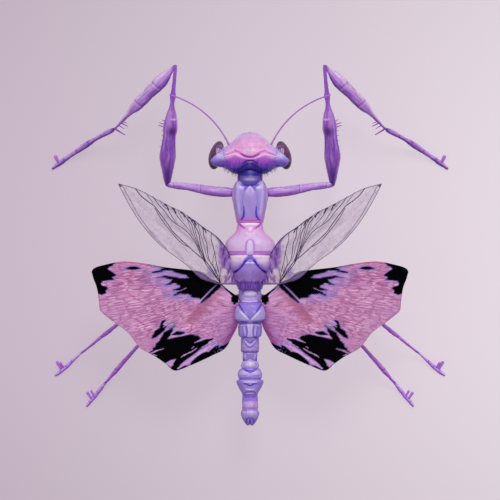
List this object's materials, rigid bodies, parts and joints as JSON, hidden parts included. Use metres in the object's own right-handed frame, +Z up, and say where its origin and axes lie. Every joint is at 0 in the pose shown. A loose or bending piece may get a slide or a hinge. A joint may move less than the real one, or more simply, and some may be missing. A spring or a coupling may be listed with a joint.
{
  "type": "orchid mantis",
  "caption": "Life-size winged orchid mantis, standing on all feet with forelegs reached out, both pairs of wings spread and a slim beaded abdomen.",
  "frame": {"origin": "middle of the footprint, on the ground plane under the insect", "axes": "+Y towards the head, +X to the insect's right, +Z up"},
  "size_m": [0.0804, 0.0724, 0.0174],
  "materials": {
    "lilac_shell": "satin, lilac with violet-blue creases",
    "orchid_shell": "satin, orchid pink fading to lilac",
    "violet_shell": "satin, violet, darker beneath",
    "eye": "glossy maroon with a fine facet lattice",
    "wing_membrane": "clear membrane with dark veins",
    "wing_petal": "wrinkled dusty pink with black patches"
  },
  "bodies": {
    "root": {"head": "orchid_shell", "mouthparts": "violet_shell", "neck": "lilac_shell", "pronotum": "lilac_shell", "mesothorax": "orchid_shell", "metathorax": "lilac_shell", "abdomen_1": "lilac_shell", "abdomen_2": "lilac_shell", "abdomen_3": "lilac_shell", "abdomen_4": "lilac_shell", "abdomen_5": "lilac_shell", "abdomen_6": "lilac_shell", "abdomen_7": "lilac_shell", "abdomen_8": "lilac_shell", "abdomen_9": "lilac_shell", "abdomen_10": "lilac_shell", "eye_left": "eye", "antenna_left": "violet_shell", "cercus_left": "lilac_shell", "foreleg_coxa_left": "violet_shell", "foreleg_femur_left": "violet_shell", "foreleg_tibia_left": "violet_shell", "foreleg_tarsus_left": "violet_shell", "midleg_coxa_left": "violet_shell", "midleg_femur_left": "violet_shell", "midleg_tibia_left": "violet_shell", "midleg_tarsus_left": "violet_shell", "hindleg_coxa_left": "violet_shell", "hindleg_femur_left": "violet_shell", "hindleg_tibia_left": "violet_shell", "hindleg_tarsus_left": "violet_shell", "forewing_left": "wing_membrane", "hindwing_left": "wing_petal", "eye_right": "eye", "antenna_right": "violet_shell", "cercus_right": "lilac_shell", "foreleg_coxa_right": "violet_shell", "foreleg_femur_right": "violet_shell", "foreleg_tibia_right": "violet_shell", "foreleg_tarsus_right": "violet_shell", "midleg_coxa_right": "violet_shell", "midleg_femur_right": "violet_shell", "midleg_tibia_right": "violet_shell", "midleg_tarsus_right": "violet_shell", "hindleg_coxa_right": "violet_shell", "hindleg_femur_right": "violet_shell", "hindleg_tibia_right": "violet_shell", "hindleg_tarsus_right": "violet_shell", "forewing_right": "wing_membrane", "hindwing_right": "wing_petal"}
  },
  "joints": []
}
